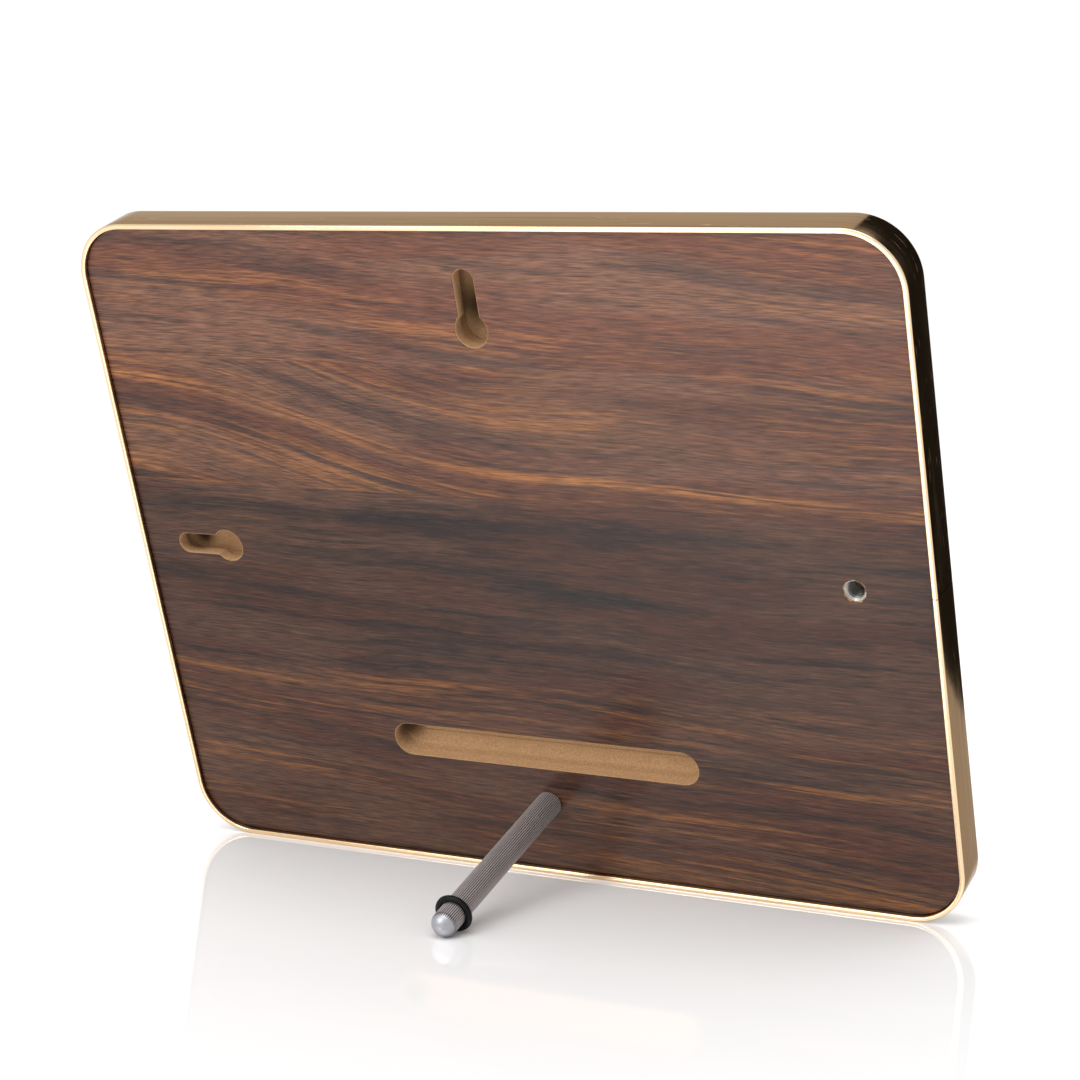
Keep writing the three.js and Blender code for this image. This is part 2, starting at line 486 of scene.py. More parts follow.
def threaded_rod(
    name: str, back: float, front: float, spare: float, sides: int = 48
) -> bpy.types.Object:
    """Makes a rod with a right-hand thread along y, cut off square at both ends.

    Args:
        name: The object's name.
        back: The y of its back end.
        front: The y of its front end.
        spare: How far its surface stands inside the nominal thread, negative for outside.
        sides: Steps in each turn.

    Returns:
        The rod.
    """
    crest = THREAD.radius - spare
    root = crest - THREAD.depth
    start = math.floor(front / THREAD.pitch - 2) * THREAD.pitch
    profile = [(root, 0), (root, 0.12), (crest, 0.44), (crest, 0.56), (root, 0.88), (root, 1)]
    piece = turned_line(name, [(radius, start + turn * THREAD.pitch) for radius, turn in profile])
    activate(piece)
    screw = piece.modifiers.new("thread", "SCREW")
    screw.axis = "Y"
    screw.steps = screw.render_steps = sides
    screw.screw_offset = THREAD.pitch
    screw.iterations = math.ceil((back - start) / THREAD.pitch) + 1
    screw.use_merge_vertices = True
    screw.merge_threshold = TOUCH
    bpy.ops.object.modifier_apply(modifier=screw.name)
    with Editing(piece) as edit:
        edit.everything()
        bpy.ops.mesh.remove_doubles(threshold=WELD)
        for y, way in ((back, 1), (front, -1)):
            edit.everything()
            bpy.ops.mesh.bisect(
                plane_co=(0, y, 0),
                plane_no=(0, way, 0),
                use_fill=True,
                clear_outer=True,
                threshold=SPLIT,
            )
        edit.everything()
        bpy.ops.mesh.normals_make_consistent(inside=False)
    return piece


# ---- finishes ------------------------------------------------------------------------------------


def linear(red: int, green: int, blue: int) -> Colour:
    """Turns a colour of 0 to 255 into the shader's linear values."""
    return tuple(
        c / 12.92 if c <= 0.04045 else ((c + 0.055) / 1.055) ** 2.4
        for c in (red / 255, green / 255, blue / 255)
    )


class Shader:
    """A material under construction, with short ways to add and join its nodes."""

    COLOUR_INPUTS = (0, 6, 7)  # a Mix node's factor and its two colours, among its unused sockets
    COLOUR_OUTPUT = 2

    def __init__(self, name: str) -> None:
        """Starts a material with an empty Principled surface."""
        self.material = bpy.data.materials.new(name)
        self.material.use_nodes = True
        self.tree = self.material.node_tree
        self.surface = next(n for n in self.tree.nodes if n.type == "BSDF_PRINCIPLED")

    def node(
        self, kind: str, inputs: dict[int | str, object] | None = None, **settings: object
    ) -> bpy.types.Node:
        """Adds a node.

        Args:
            kind: The node's type name.
            inputs: Values or sockets for its inputs, by name or number.
            **settings: Attributes of the node itself.

        Returns:
            The node.
        """
        node = self.tree.nodes.new(kind)
        for key, value in settings.items():
            setattr(node, key, value)
        for key, value in (inputs or {}).items():
            self.feed(node.inputs[key], value)
        return node

    def feed(self, socket: Socket, value: object) -> None:
        """Joins a socket to an input, or sets the input's own value."""
        if isinstance(value, bpy.types.NodeSocket):
            self.tree.links.new(value, socket)
        elif isinstance(value, tuple) and len(value) == 3 and socket.type == "RGBA":
            socket.default_value = (*value, 1)
        else:
            socket.default_value = value

    def set(self, **inputs: object) -> None:
        """Feeds the surface's inputs, named with _ for each space."""
        names = {n.name.lower().replace(" ", "_"): n for n in self.surface.inputs}
        for key, value in inputs.items():
            self.feed(names[key], value)

    def math(self, operation: str, a: Value, b: Value = 0.0) -> Socket:
        """Adds a Math node and gives its result."""
        return self.node("ShaderNodeMath", {0: a, 1: b}, operation=operation).outputs[0]

    def plus(self, a: Value, b: Value) -> Socket:
        """Adds two values."""
        return self.math("ADD", a, b)

    def minus(self, a: Value, b: Value) -> Socket:
        """Takes the second value from the first."""
        return self.math("SUBTRACT", a, b)

    def times(self, a: Value, b: Value) -> Socket:
        """Multiplies two values."""
        return self.math("MULTIPLY", a, b)

    def apart(self, a: Value, b: Value) -> Socket:
        """Gives how far two values are apart."""
        return self.math("ABSOLUTE", self.minus(a, b))

    def reach(self, a: Value, b: Value) -> Socket:
        """Gives the distance of a point from the origin of a plane."""
        return self.math("SQRT", self.plus(self.times(a, a), self.times(b, b)))

    def swing(self, value: Value, width: float) -> Socket:
        """Turns a 0 to 1 value into one that swings evenly about 0, over a width."""
        return self.times(self.minus(value, 0.5), width)

    def place(self) -> Socket:
        """Gives the point's place in the upright board frame, in metres."""
        back = LEANED.inverted()
        here = self.node("ShaderNodeTexCoord").outputs["Object"]
        mapping = self.node("ShaderNodeMapping", {"Vector": here})
        mapping.inputs["Location"].default_value = back.to_translation()
        mapping.inputs["Rotation"].default_value = back.to_euler()
        return mapping.outputs[0]

    def split(self, vector: Socket) -> list[Socket]:
        """Gives a vector's x, y and z."""
        return list(self.node("ShaderNodeSeparateXYZ", {0: vector}).outputs)

    def join(self, x: Value, y: Value, z: Value) -> Socket:
        """Makes a vector of three values."""
        return self.node("ShaderNodeCombineXYZ", {0: x, 1: y, 2: z}).outputs[0]

    def stretch(
        self, vector: Socket, scale: Sequence[float], shift: Sequence[float] = (0, 0, 0)
    ) -> Socket:
        """Scales a vector along its axes and moves it."""
        mapping = self.node("ShaderNodeMapping", {"Vector": vector})
        mapping.inputs["Scale"].default_value = scale
        mapping.inputs["Location"].default_value = shift
        return mapping.outputs[0]

    def noise(
        self,
        vector: Socket,
        scale: float = 1,
        detail: float = 2,
        rough: float = 0.5,
        warp: float = 0,
    ) -> Socket:
        """Adds a Noise texture and gives its 0 to 1 value."""
        look = {"Scale": scale, "Detail": detail, "Roughness": rough, "Distortion": warp}
        return self.node("ShaderNodeTexNoise", {"Vector": vector, **look}).outputs[0]

    def grain(
        self,
        a: Value,
        b: Value,
        scale: tuple[float, float],
        shift: tuple[float, float] = (0, 0),
        **look: float,
    ) -> Socket:
        """Adds noise over two values, so that it is even across the third direction.

        Args:
            a: The first value.
            b: The second value.
            scale: How fine it is along each.
            shift: How far it is moved along each.
            **look: The detail, rough and warp of the noise.

        Returns:
            Its 0 to 1 value.
        """
        size, start = (scale[0], 1, scale[1]), (shift[0], 0, shift[1])
        return self.noise(self.stretch(self.join(a, 0.0, b), size, start), **look)

    def between(self, value: Value, low: float, high: float) -> Socket:
        """Gives 0 below low, 1 above high and a smooth step between; low may be above high."""
        node = self.node("ShaderNodeMapRange", {"Value": value, "From Min": low, "From Max": high})
        node.interpolation_type = "SMOOTHSTEP"
        return node.outputs[0]

    def mix(self, amount: Value, a: object, b: object, blend: str = "MIX") -> Socket:
        """Mixes two colours."""
        node = self.node("ShaderNodeMix", data_type="RGBA", blend_type=blend)
        for number, value in zip(self.COLOUR_INPUTS, (amount, a, b)):
            self.feed(node.inputs[number], value)
        return node.outputs[self.COLOUR_OUTPUT]

    def bump(self, height: Socket, distance: float, strength: float = 1.0) -> None:
        """Adds relief to the surface, distance metres deep."""
        relief = {"Height": height, "Distance": distance, "Strength": strength}
        self.feed(self.surface.inputs["Normal"], self.node("ShaderNodeBump", relief).outputs[0])


@dataclass(frozen=True)
class GrainStrip:
    """One printed board of the laminate, which lies across the whole back.

    Its grain rises by slope and drops by bend near one side. Dark and orange are how strong its
    figure and its streaks are, light is its brightness, and start moves its pattern along x. The
    light rises towards the top strip, partly the boards' own tone and partly painted sheen.
    """

    low: float
    slope: float
    bend: float
    dark: float
    orange: float
    light: float
    start: float


@dataclass(frozen=True)
class WalnutLaminate:
    """Printed walnut-look sheet, satin: four strips of grain with streaks and a flame."""

    # The light values make the back lighter towards the top: partly the boards' own tone, partly
    # painted sheen.
    strips: tuple[GrainStrip, ...] = (
        GrainStrip(low=0, slope=0.05, bend=0, dark=0.6, orange=0.9, light=0.36, start=0),
        GrainStrip(low=63 * MM, slope=0.03, bend=0, dark=0.75, orange=0.1, light=0.29, start=1.3),
        GrainStrip(
            low=122.2 * MM, slope=0.05, bend=22 * MM, dark=0.5, orange=0.7, light=0.58, start=2.9
        ),
        GrainStrip(
            low=162.2 * MM, slope=0.08, bend=0, dark=0.5, orange=0.42, light=0.76, start=4.1
        ),
    )
    flame_low: float = 129.5 * MM
    flame_core: float = 0.4 * MM
    flame_edge: float = 2.8 * MM
    bend_from: float = -10 * MM
    bend_to: float = 128 * MM
    drift: float = 10 * MM
    blend: float = 12 * MM
    joint: float = 0.5 * MM
    brown: Colour = linear(124, 87, 70)
    red: Colour = linear(112, 70, 55)
    dark: Colour = linear(50, 44, 46)
    orange: Colour = linear(182, 120, 72)

    def make(self) -> bpy.types.Material:
        """Builds the material.

        Returns:
            The material.
        """
        s = Shader("walnut_laminate")
        x, _, z = s.split(s.place())
        flow = self._flow(s, x, z)
        along = s.plus(x, self._by_strip(s, z, [strip.start for strip in self.strips]))
        tone = self._bands(s, along, flow, z)
        tone = self._streaks(s, x, along, flow, z, tone)
        dashes = s.grain(x, flow, (75, 1500), (1, 2), detail=3, rough=0.6)
        tone = s.mix(s.times(s.between(dashes, 0.5, 0.32), 0.5), tone, self.dark)
        tone = s.mix(s.times(s.between(dashes, 0.54, 0.72), 0.26), tone, self.orange)
        fibres = s.grain(x, z, (150, 2500), (4, 3), detail=2)
        shade = s.plus(0.66, s.times(s.between(fibres, 0.3, 0.7), 0.68))
        # Partly painted sheen: the strips' brightness, lighter towards the top, is partly the
        # boards' own tone and partly painted sheen.
        brightness_and_sheen = [strip.light for strip in self.strips]
        shade = s.times(shade, self._by_strip(s, z, brightness_and_sheen, self.blend))
        tone = s.mix(1.0, tone, s.join(shade, shade, shade), "MULTIPLY")
        rough = s.plus(0.22, s.times(dashes, 0.1))
        s.set(base_color=tone, roughness=rough, specular_ior_level=0.2)
        s.bump(s.plus(dashes, fibres), 0.006 * MM, 0.4)
        return s.material

    def _by_strip(
        self, s: Shader, z: Socket, values: Sequence[float], blur: float = 0.01 * MM
    ) -> Socket:
        """Gives the value of the strip that the height z lies in, blurred across the joints."""
        total: Value = values[0]
        for strip, before, after in zip(self.strips[1:], values, values[1:]):
            above = s.between(z, strip.low - blur, strip.low + blur)
            total = s.plus(s.times(above, after - before), total)
        return total

    def _flow(self, s: Shader, x: Socket, z: Socket) -> Socket:
        """Follows each strip's grain, which slopes, bends near one side and wanders a little."""
        slope = self._by_strip(s, z, [strip.slope for strip in self.strips])
        bend = self._by_strip(s, z, [strip.bend for strip in self.strips])
        sloped = s.minus(z, s.times(x, slope))
        bent = s.minus(sloped, s.times(s.between(x, self.bend_from, self.bend_to), bend))
        drift = s.grain(x, z, (10, 22), detail=1)
        return s.plus(bent, s.swing(drift, self.drift))

    def _bands(self, s: Shader, along: Socket, flow: Socket, z: Socket) -> Socket:
        """Lays the wide bands: brown, reddish patches and dark figure."""
        patches = s.grain(along, flow, (9, 60), detail=2, rough=0.5, warp=0.4)
        tone = s.mix(s.between(patches, 0.42, 0.6), self.brown, self.red)
        strength = self._by_strip(s, z, [strip.dark for strip in self.strips])
        wide = s.grain(along, flow, (8, 110), (5, 3), detail=3, rough=0.5, warp=0.2)
        tone = s.mix(s.times(s.between(wide, 0.5, 0.34), strength), tone, self.dark)
        thin = s.grain(along, flow, (16, 420), (2, 8), detail=4, rough=0.6)
        return s.mix(s.times(s.between(thin, 0.5, 0.34), strength), tone, self.dark)

    def _streaks(
        self, s: Shader, x: Socket, along: Socket, flow: Socket, z: Socket, tone: Socket
    ) -> Socket:
        """Adds the orange streaks, the flame in the third strip and the lines between strips."""
        lines = s.grain(along, flow, (14, 560), (3, 7), detail=5, rough=0.65)
        zones = s.grain(along, flow, (4, 75), (9, 1), detail=2)
        amount = s.times(s.between(lines, 0.46, 0.64), s.between(zones, 0.38, 0.6))
        strength = self._by_strip(s, z, [strip.orange for strip in self.strips])
        tone = s.mix(s.times(amount, strength), tone, self.orange)
        away = s.apart(flow, self.flame_low)
        broken = s.grain(along, flow, (22, 700), (6, 4), detail=4)
        flame = s.between(away, self.flame_edge, self.flame_core)
        flame = s.times(flame, s.between(broken, 0.36, 0.6))
        in_strip = s.math("GREATER_THAN", z, self.strips[2].low)
        tone = s.mix(s.times(flame, in_strip), tone, self.orange)
        for strip in self.strips[1:]:
            near = s.between(s.apart(z, strip.low + self.joint), self.joint, self.joint / 5)
            patchy = s.between(s.grain(x, z, (16, 1), detail=2), 0.42, 0.6)
            line = s.times(s.times(near, patchy), strip.orange)
            tone = s.mix(s.times(line, 0.7), tone, self.orange)
        return tone


@dataclass(frozen=True)
class PocketShade:
    """A dark patch of painted shade in the deep end of a pocket, where the cavity's shadow falls.
    """

    x: float
    z: float
    radius: float
    strength: float


@dataclass(frozen=True)
class Fibreboard:
    """Raw routed fibreboard: felted fibres, a denser middle, darker flecks and painted pocket
    shade.
    """

    light: Colour = linear(182, 146, 108)
    deep: Colour = linear(156, 120, 84)
    fleck: Colour = linear(112, 80, 50)
    # Painted shade: the colour and depths of the dark patches standing in for shadows deep in the
    # pocket ends.
    pocket_shade_tone: Colour = linear(36, 18, 6)
    shade_from: float = 0.6 * MM
    shade_full: float = 4 * MM
    pocket_shades: tuple[PocketShade, ...] = (
        PocketShade(x=47.3 * MM, z=42.2 * MM, radius=6.5 * MM, strength=0.9),
        PocketShade(x=109.5 * MM, z=101.6 * MM, radius=6.0 * MM, strength=0.97),
        PocketShade(x=0.0, z=178.0 * MM, radius=11.0 * MM, strength=0.92),
    )

    def make(self) -> bpy.types.Material:
        """Builds the material.

        Returns:
            The material.
        """
        s = Shader("fibreboard")
        place = s.place()
        x, y, z = s.split(place)
        felt = s.noise(place, 1900, detail=3, rough=0.6)
        cloud = s.noise(place, 210, detail=3)
        tone = s.mix(s.between(felt, 0.3, 0.7), self.deep, self.light)
        tone = s.mix(s.times(s.between(cloud, 0.45, 0.7), 0.3), tone, self.deep)
        flecks = s.noise(place, 3100, detail=2)
        tone = s.mix(s.times(s.between(flecks, 0.6, 0.74), 0.45), tone, self.fleck)
        core = s.apart(y, BOARD.middle)
        tone = s.mix(s.times(s.between(core, 1.2 * MM, 0.3 * MM), 0.22), tone, self.fleck)
        wander = s.swing(cloud, 3 * MM)
        top = BOARD.sheet_back
        # Painted shade: a dark patch at each deep pocket end, darker further into the pocket,
        # stands in for the cavity's shadow.
        for shade_patch in self.pocket_shades:
            away = s.reach(s.minus(x, shade_patch.x), s.minus(z, shade_patch.z))
            dark_patch = s.between(s.plus(away, wander), shade_patch.radius, shade_patch.radius * 0.1)
            inside = s.between(y, top - self.shade_from, top - self.shade_full)
            amount = s.times(s.times(dark_patch, inside), shade_patch.strength)
            tone = s.mix(amount, tone, self.pocket_shade_tone)
        s.set(base_color=tone, roughness=0.92, specular_ior_level=0.2)
        s.bump(felt, 0.05 * MM, 0.6)
        return s.material


@dataclass(frozen=True)
class GoldBand:
    """Polished pale gold lips, an outer face painted darker as a painted reflection, fine drawn
    lines and stray scratches.
    """

    lip: Colour = linear(232, 202, 164)
    worn: Colour = linear(216, 184, 142)
    # Painted reflection: face and line darken the outer face of the same gold, as if it mirrored
    # dark surroundings.
    face: Colour = linear(152, 126, 100)
    line: Colour = linear(116, 94, 72)
    grazing: Colour = (0.78, 0.68, 0.57)
    lip_from: float = 0.3 * MM
    lip_to: float = 0.7 * MM

    def make(self) -> bpy.types.Material:
        """Builds the material.

        Returns:
            The material.
        """
        s = Shader("gold_band")
        place = s.place()
        _, y, _ = s.split(place)
        lines = s.noise(s.stretch(place, (9, 900, 9)), detail=4, rough=0.6)
        scratches = s.noise(s.stretch(place, (55, 1500, 55), (3, 1, 2)), detail=3, rough=0.7)
        smears = s.noise(s.stretch(place, (30, 260, 30), (7, 2, 5)), detail=4)
        scratched = s.between(scratches, 0.66, 0.72)
        from_middle = s.apart(y, -BOARD.thickness / 2)
        rim = BOARD.thickness / 2
        # Painted reflection: away from the lips, the outer face takes the darker face and line
        # colours.
        on_face = s.between(from_middle, rim - self.lip_from, rim - self.lip_to)
        pale = s.mix(s.between(lines, 0.4, 0.75), self.lip, self.worn)
        deep = s.mix(s.between(lines, 0.5, 0.72), self.face, self.line)
        deep = s.mix(s.times(scratched, 0.7), deep, self.lip)
        s.set(base_color=s.mix(on_face, pale, deep), metallic=1.0, specular_tint=self.grazing)
        rough = s.plus(0.13, s.times(s.between(smears, 0.45, 0.75), 0.12))
        s.set(roughness=s.plus(rough, s.times(scratched, 0.35)))
        s.bump(s.minus(lines, s.times(scratched, 0.1)), 0.012 * MM, 0.6)
        return s.material


@dataclass(frozen=True)
class Metal:
    """A plain metal, slightly mottled, with turning lines round a hole's axis and painted shade
    down it.
    """

    name: str
    tone: Colour
    second: Colour
    roughness: float
    centre: Vector
    lines: float = 0.0
    # Painted shade down the bore: its colour, its strength and the depths where it starts and is
    # full.
    bore_shade_tone: Colour = linear(42, 39, 36)
    grime_and_bore_shade: float = 0.85
    bore_shade_from: float = -2 * MM
    bore_shade_full: float = -4.5 * MM

    def make(self) -> bpy.types.Material:
        """Builds the material.

        Returns:
            The material.
        """
        s = Shader(self.name)
        place = s.stretch(s.place(), (1, 1, 1), tuple(-self.centre))
        x, y, z = s.split(place)
        mottle = s.noise(place, 1600, detail=3)
        tone = s.mix(mottle, self.tone, self.second)
        # Painted shade: the tone darkens down the bore, standing in for the shade inside the hole.
        down_bore = s.between(y, self.bore_shade_from, self.bore_shade_full)
        s.set(base_color=s.mix(s.times(down_bore, self.grime_and_bore_shade), tone, self.bore_shade_tone), metallic=1.0)
        rings = s.noise(s.join(s.plus(s.reach(x, z), s.times(y, 0.6)), 0.0, 0.0), 9000, detail=2)
        rough = s.plus(self.roughness - 0.05, s.times(rings, self.lines))
        s.set(roughness=s.plus(rough, s.times(mottle, 0.1)))
        s.bump(s.plus(mottle, s.times(rings, 10 * self.lines)), 0.001 * MM, 0.6)
        return s.material


@dataclass(frozen=True)
class FlutedCoat:
    """Warm grey anodising on the peg, coloured dark in the flutes as painted shade."""

    land: Colour = linear(178, 170, 170)
    # Painted shade colour for the flute valleys.
    valley: Colour = linear(38, 32, 31)
    land_radius: float = 3.79 * MM
    valley_radius: float = 3.6 * MM

    def make(self) -> bpy.types.Material:
        """Builds the material.

        Returns:
            The material.
        """
        s = Shader("anodised_peg")
        place = s.stretch(s.place(), (1, 1, 1), tuple(-PEG_HOLE))
        x, _, z = s.split(place)
        grime_and_bore_shade = s.noise(s.stretch(place, (900, 120, 900)), detail=3)
        height = s.plus(s.reach(x, z), s.swing(grime_and_bore_shade, 0.08 * MM))
        # Painted shade: the flute valleys are coloured dark, standing in for the shade in the
        # grooves.
        on_land = s.between(height, self.valley_radius, self.land_radius)
        tone = s.mix(on_land, self.valley, self.land)
        s.set(base_color=tone, metallic=0.5, specular_ior_level=0.4)
        s.set(roughness=s.plus(0.38, s.times(grime_and_bore_shade, 0.16)))
        s.bump(s.noise(place, 4200, detail=2), 0.004 * MM, 0.4)
        return s.material


@dataclass(frozen=True)
class Rubber:
    """Black moulded rubber with a faint bloom."""

    tone: Colour = linear(6, 6, 7)
    bloomed: Colour = linear(15, 15, 16)

    def make(self) -> bpy.types.Material:
        """Builds the material.

        Returns:
            The material.
        """
        s = Shader("rubber")
        place = s.place()
        bloom = s.noise(place, 700, detail=4)
        s.set(base_color=s.mix(s.between(bloom, 0.4, 0.8), self.tone, self.bloomed))
        s.set(roughness=s.plus(0.3, s.times(bloom, 0.2)), specular_ior_level=0.14)
        s.bump(s.noise(place, 5200, detail=2), 0.01 * MM, 0.5)
        return s.material


@dataclass(frozen=True)
class ClearSheet:
    """Clear acrylic with faint wipe marks in its gloss."""

    def make(self) -> bpy.types.Material:
        """Builds the material.

        Returns:
            The material.
        """
        s = Shader("clear_sheet")
        wipes = s.noise(s.stretch(s.place(), (30, 1, 160)), detail=4)
        s.set(base_color=(0.98, 0.99, 1.0), transmission_weight=1.0, ior=1.49)
        s.set(roughness=s.plus(0.05, s.times(s.between(wipes, 0.5, 0.8), 0.04)))
        return s.material


@dataclass(frozen=True)
class LandscapePrint:
    """An invented lake view: sky, a low sun, four ridges, water and a dark shore."""

    zenith: Colour = linear(92, 142, 190)
    horizon: Colour = linear(250, 214, 170)
    far: Colour = linear(150, 168, 190)
    near: Colour = linear(38, 62, 56)
    shore: Colour = linear(40, 48, 26)
    grass: Colour = linear(104, 112, 54)
    lake: Colour = linear(60, 92, 110)
    cloud: Colour = linear(255, 240, 226)
    glow: Colour = linear(255, 226, 160)
    sun: Colour = linear(255, 248, 220)
    sun_x: float = 46 * MM
    sun_z: float = 122 * MM
    sun_radius: float = 7 * MM
    water: float = 62 * MM
    ridges: int = 4

    def make(self) -> bpy.types.Material:
        """Builds the material.

        Returns:
            The material.
        """
        s = Shader("landscape_print")
        x, _, z = s.split(s.place())
        mirror = s.minus(2 * self.water, z)
        ripple = s.grain(x, z, (30, 900), detail=3)
        sway = s.swing(ripple, 9 * MM)
        scene = self._land(s, x, z)
        reflected = self._land(s, s.plus(x, sway), s.plus(mirror, sway))
        reflected = s.mix(0.22, reflected, self.lake)
        above = s.between(z, self.water - 0.2 * MM, self.water + 0.2 * MM)
        picture = s.mix(above, reflected, scene)
        tufts = s.grain(x, z, (500, 90), detail=3)
        bank = s.noise(s.join(x, 0.0, 0.0), 14, detail=3)
        top = s.plus(s.times(bank, 34 * MM), s.times(tufts, 7 * MM))
        grass = s.mix(tufts, self.shore, self.grass)
        picture = s.mix(s.between(s.minus(top, z), 0.0, 0.5 * MM), picture, grass)
        s.set(base_color=picture, roughness=0.55, specular_ior_level=0.3)
        return s.material

    def _land(self, s: Shader, x: Socket, z: Socket) -> Socket:
        """Paints the sky, the sun and the ridges above the water line."""
        sky = s.mix(s.between(z, 85 * MM, 205 * MM), self.horizon, self.zenith)
        cloud = s.grain(x, z, (14, 60), detail=6, rough=0.6)
        sky = s.mix(s.times(s.between(cloud, 0.5, 0.72), 0.65), sky, self.cloud)
        away = s.reach(s.minus(x, self.sun_x), s.minus(z, self.sun_z))
        sky = s.mix(s.times(s.between(away, 70 * MM, 6 * MM), 0.7), sky, self.glow)
        disc = s.between(away, self.sun_radius + 0.5 * MM, self.sun_radius - 0.5 * MM)
        sky = s.mix(disc, sky, self.sun)
        for i in range(self.ridges):
            part = i / (self.ridges - 1)
            lift = (116 - 40 * part) * MM
            swing = (46 - 22 * part) * MM
            outline = s.noise(s.join(x, 3.7 * i, 0.0), 11 + 9 * part, detail=6, rough=0.5)
            top = s.plus(lift - swing / 2, s.times(outline, swing))
            depth = s.minus(top, z)
            haze = s.between(depth, 0.0, 30 * MM)
            tone = tuple(a + (b - a) * part for a, b in zip(self.far, self.near))
            shade = s.mix(s.times(haze, 0.35), tone, self.horizon)
            sky = s.mix(s.between(depth, 0.0, 0.35 * MM), sky, shade)
        return sky


# ---- the board's sub-assemblies ------------------------------------------------------------------


def finish_piece(
    piece: bpy.types.Object,
    body: str,
    replaces: Iterable[str],
    materials: Iterable[bpy.types.Material] = (),
) -> bpy.types.Object:
    """Leans a finished piece into place, dresses it and ties it to its body.

    Args:
        piece: The piece, in the upright board frame.
        body: The body it rides on.
        replaces: The CAD nodes that it stands for.
        materials: Its materials, unless it already has them.

    Returns:
        The piece.
    """
    piece.matrix_world = LEANED
    apply_place(piece)
    for material in materials:
        piece.data.materials.append(material)
    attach(piece, body)
    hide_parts(*replaces)
    LOG.info("%s rides on %s with %d faces", piece.name, body, len(piece.data.polygons))
    return piece


@dataclass
class Panel:
    """The fibreboard with its back sheet, picture and clear face."""

    body: str = "panel"
    hole_radius: float = 3.15 * MM
    insert_radius: float = 4.1 * MM
    hole_floor: float = -9.3 * MM
    collar_floor: float = -2.6 * MM
    rim: float = 0.22 * MM
    chipping: float = 0.3 * MM
    kerf: float = 2.3 * MM
    kerf_depth: float = 6.7 * MM
    inset: float = BOARD.band + BOARD.fit
    head_step: float = 0.4 * MM
    neck_step: float = 0.3 * MM
    slot_spare: float = 0.03 * MM
    bottom_round: float = 0.98
    bottom_steps: int = 14
    polish: float = 0.15 * MM

    def build(self) -> None:
        """Builds the four layers."""
        self.core()
        self.back_sheet()
        self.picture()
        self.clear_face()

    def keyhole(
        self, piece: bpy.types.Object, centre: Vector, neck: Neck, grow: float, deep: bool
    ) -> None:
        """Cuts one keyhole.

        Args:
            piece: The layer to cut.
            centre: The head's centre.
            neck: The way the neck runs.
            grow: How much wider than nominal it is cut on each side.
            deep: Whether the wider slot behind the neck is cut too.
        """
        head = KEYHOLE.head_diameter / 2 + grow
        half_neck = KEYHOLE.neck_width / 2 + grow
        lip = BOARD.sheet_back - KEYHOLE.neck_depth
        reach = KEYHOLE.reach
        combine(piece, bar("head_cutter", centre, head, CUT, lip - self.head_step))
        combine(piece, slot_cutter(centre, neck, reach, half_neck, CUT, lip - self.neck_step))
        if deep:
            floor = BOARD.sheet_back - KEYHOLE.depth
            combine(piece, slot_cutter(centre, neck, reach, head + self.slot_spare, lip, floor))

    def groove(self, piece: bpy.types.Object, grow: float) -> None:
        """Cuts the groove with a round bottom.

        Args:
            piece: The layer to cut.
            grow: How much wider than nominal it is cut on each side.
        """
        radius = GROOVE.width / 2 + grow
        floor = BOARD.sheet_back - GROOVE.depth
        reach = GROOVE.length - GROOVE.width
        start = Vector((-reach / 2, 0, GROOVE.z))
        cutter = slot_cutter(start, Neck.SIDEWAYS, reach, radius, CUT, floor)
        with Editing(cutter) as edit:
            edit.loop_at(floor)
            edit.bevel(radius * self.bottom_round, self.bottom_steps)
        combine(piece, cutter)

    def core(self) -> bpy.types.Object:
        """Builds the fibreboard with its kerf, pockets and holes.

        Returns:
            The finished piece.
        """
        piece = board_slab("fibreboard_core", self.inset, BOARD.core_back, BOARD.core_front)
        with Editing(piece) as edit:
            for side in (1, -1):
                edit.everything()
                plane = (0, BOARD.middle + side * self.kerf / 2, 0)
                bpy.ops.mesh.bisect(plane_co=plane, plane_no=(0, 1, 0), threshold=SPLIT)
            edit.faces(lambda c, n: abs(n.y) < 0.5 and abs(c.y - BOARD.middle) < self.kerf / 2)
            bpy.ops.mesh.extrude_region_shrink_fatten(
                TRANSFORM_OT_shrink_fatten={"value": -self.kerf_depth, "use_even_offset": True}
            )
        self.keyhole(piece, TOP_KEYHOLE, Neck.UP, 0.0, True)
        self.keyhole(piece, SIDE_KEYHOLE, Neck.SIDEWAYS, 0.0, True)
        self.groove(piece, 0.0)
        for hole in (PEG_HOLE, SIDE_HOLE):
            collar = self.collar_floor
            combine(piece, bar("hole_cutter", hole, self.hole_radius, CUT, collar - CUT))
            combine(piece, bar("insert_cutter", hole, self.insert_radius, collar, self.hole_floor))
        smooth(piece)
        return finish_piece(piece, self.body, ["core_board"], [Fibreboard().make()])

    def back_sheet(self) -> bpy.types.Object:
        """Builds the walnut-look sheet, with chipped edges round the two drilled holes.

        Returns:
            The finished piece.
        """
        front = BOARD.core_back + SLIVER
        piece = board_slab("walnut_back_sheet", self.inset, BOARD.sheet_back, front)
        self.keyhole(piece, TOP_KEYHOLE, Neck.UP, self.rim, False)
        self.keyhole(piece, SIDE_KEYHOLE, Neck.SIDEWAYS, self.rim, False)
        self.groove(piece, self.rim)
        for hole in (PEG_HOLE, SIDE_HOLE):
            cutter = bar("chipped_cutter", hole, self.hole_radius + self.rim, CUT, -3 * CUT, 36)
            with Editing(cutter) as edit:
                edit.everything()
                bpy.ops.transform.vertex_random(
                    offset=self.chipping, uniform=1.0, normal=0.0, seed=4
                )
            combine(piece, cutter)
        smooth(piece)
        laminate = WalnutLaminate().make()
        return finish_piece(piece, self.body, ["back_sheet"], [laminate])

